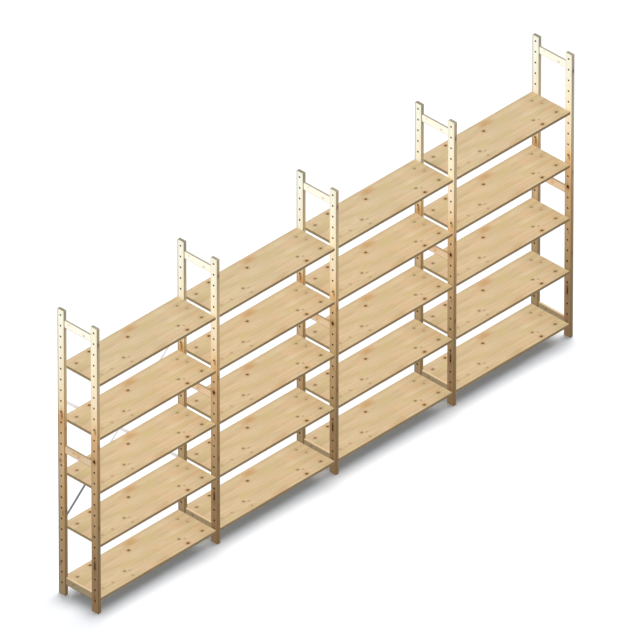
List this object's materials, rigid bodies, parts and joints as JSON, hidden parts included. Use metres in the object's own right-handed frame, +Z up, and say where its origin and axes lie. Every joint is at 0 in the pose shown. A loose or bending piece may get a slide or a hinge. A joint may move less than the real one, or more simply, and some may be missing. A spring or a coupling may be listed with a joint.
{
  "type": "shelving unit",
  "caption": "Run of pine ladder-frame shelving: drilled posts joined by rungs, solid boards resting on steel pins in open bays, and a flat-strap cross brace at the back.",
  "frame": {"origin": "middle of the footprint, on the floor", "axes": "X along the run, -Y to the front, +Z up"},
  "size_m": [4.177, 0.3414, 2.1],
  "materials": {
    "pine_post": "planed, untreated",
    "pine_rung": "planed, untreated",
    "pine_shelf": "sanded, untreated",
    "galvanised_strap": "zinc plated",
    "pin_steel": "zinc plated"
  },
  "bodies": {
    "frame_run": {"frame_1_front_post": "pine_post", "frame_1_back_post": "pine_post", "frame_1_top_rung": "pine_rung", "frame_1_middle_rung": "pine_rung", "frame_1_bottom_rung": "pine_rung", "frame_2_front_post": "pine_post", "frame_2_back_post": "pine_post", "frame_2_top_rung": "pine_rung", "frame_2_middle_rung": "pine_rung", "frame_2_bottom_rung": "pine_rung", "frame_3_front_post": "pine_post", "frame_3_back_post": "pine_post", "frame_3_top_rung": "pine_rung", "frame_3_middle_rung": "pine_rung", "frame_3_bottom_rung": "pine_rung", "frame_4_front_post": "pine_post", "frame_4_back_post": "pine_post", "frame_4_top_rung": "pine_rung", "frame_4_middle_rung": "pine_rung", "frame_4_bottom_rung": "pine_rung", "frame_5_front_post": "pine_post", "frame_5_back_post": "pine_post", "frame_5_top_rung": "pine_rung", "frame_5_middle_rung": "pine_rung", "frame_5_bottom_rung": "pine_rung", "bay_1_shelf_pins": "pin_steel", "bay_2_shelf_pins": "pin_steel", "bay_3_shelf_pins": "pin_steel", "bay_4_shelf_pins": "pin_steel", "brace_rising_strap": "galvanised_strap", "brace_falling_strap": "galvanised_strap", "brace_rivet": "galvanised_strap", "brace_screws": "pin_steel"},
    "board_1_1": {"bay_1_shelf_1": "pine_shelf"},
    "board_1_2": {"bay_1_shelf_2": "pine_shelf"},
    "board_1_3": {"bay_1_shelf_3": "pine_shelf"},
    "board_1_4": {"bay_1_shelf_4": "pine_shelf"},
    "board_1_5": {"bay_1_shelf_5": "pine_shelf"},
    "board_2_1": {"bay_2_shelf_1": "pine_shelf"},
    "board_2_2": {"bay_2_shelf_2": "pine_shelf"},
    "board_2_3": {"bay_2_shelf_3": "pine_shelf"},
    "board_2_4": {"bay_2_shelf_4": "pine_shelf"},
    "board_2_5": {"bay_2_shelf_5": "pine_shelf"},
    "board_3_1": {"bay_3_shelf_1": "pine_shelf"},
    "board_3_2": {"bay_3_shelf_2": "pine_shelf"},
    "board_3_3": {"bay_3_shelf_3": "pine_shelf"},
    "board_3_4": {"bay_3_shelf_4": "pine_shelf"},
    "board_3_5": {"bay_3_shelf_5": "pine_shelf"},
    "board_4_1": {"bay_4_shelf_1": "pine_shelf"},
    "board_4_2": {"bay_4_shelf_2": "pine_shelf"},
    "board_4_3": {"bay_4_shelf_3": "pine_shelf"},
    "board_4_4": {"bay_4_shelf_4": "pine_shelf"},
    "board_4_5": {"bay_4_shelf_5": "pine_shelf"}
  },
  "joints": [
    {"name": "lift_1_1", "type": "slide", "parent": "frame_run", "child": "board_1_1", "axis": [0, 0, 1], "range_m": [0, 0.35]},
    {"name": "lift_1_2", "type": "slide", "parent": "frame_run", "child": "board_1_2", "axis": [0, 0, 1], "range_m": [0, 0.35]},
    {"name": "lift_1_3", "type": "slide", "parent": "frame_run", "child": "board_1_3", "axis": [0, 0, 1], "range_m": [0, 0.35]},
    {"name": "lift_1_4", "type": "slide", "parent": "frame_run", "child": "board_1_4", "axis": [0, 0, 1], "range_m": [0, 0.35]},
    {"name": "lift_1_5", "type": "slide", "parent": "frame_run", "child": "board_1_5", "axis": [0, 0, 1], "range_m": [0, 0.44]},
    {"name": "lift_2_1", "type": "slide", "parent": "frame_run", "child": "board_2_1", "axis": [0, 0, 1], "range_m": [0, 0.35]},
    {"name": "lift_2_2", "type": "slide", "parent": "frame_run", "child": "board_2_2", "axis": [0, 0, 1], "range_m": [0, 0.35]},
    {"name": "lift_2_3", "type": "slide", "parent": "frame_run", "child": "board_2_3", "axis": [0, 0, 1], "range_m": [0, 0.35]},
    {"name": "lift_2_4", "type": "slide", "parent": "frame_run", "child": "board_2_4", "axis": [0, 0, 1], "range_m": [0, 0.35]},
    {"name": "lift_2_5", "type": "slide", "parent": "frame_run", "child": "board_2_5", "axis": [0, 0, 1], "range_m": [0, 0.44]},
    {"name": "lift_3_1", "type": "slide", "parent": "frame_run", "child": "board_3_1", "axis": [0, 0, 1], "range_m": [0, 0.35]},
    {"name": "lift_3_2", "type": "slide", "parent": "frame_run", "child": "board_3_2", "axis": [0, 0, 1], "range_m": [0, 0.35]},
    {"name": "lift_3_3", "type": "slide", "parent": "frame_run", "child": "board_3_3", "axis": [0, 0, 1], "range_m": [0, 0.35]},
    {"name": "lift_3_4", "type": "slide", "parent": "frame_run", "child": "board_3_4", "axis": [0, 0, 1], "range_m": [0, 0.35]},
    {"name": "lift_3_5", "type": "slide", "parent": "frame_run", "child": "board_3_5", "axis": [0, 0, 1], "range_m": [0, 0.44]},
    {"name": "lift_4_1", "type": "slide", "parent": "frame_run", "child": "board_4_1", "axis": [0, 0, 1], "range_m": [0, 0.35]},
    {"name": "lift_4_2", "type": "slide", "parent": "frame_run", "child": "board_4_2", "axis": [0, 0, 1], "range_m": [0, 0.35]},
    {"name": "lift_4_3", "type": "slide", "parent": "frame_run", "child": "board_4_3", "axis": [0, 0, 1], "range_m": [0, 0.35]},
    {"name": "lift_4_4", "type": "slide", "parent": "frame_run", "child": "board_4_4", "axis": [0, 0, 1], "range_m": [0, 0.35]},
    {"name": "lift_4_5", "type": "slide", "parent": "frame_run", "child": "board_4_5", "axis": [0, 0, 1], "range_m": [0, 0.44]}
  ]
}
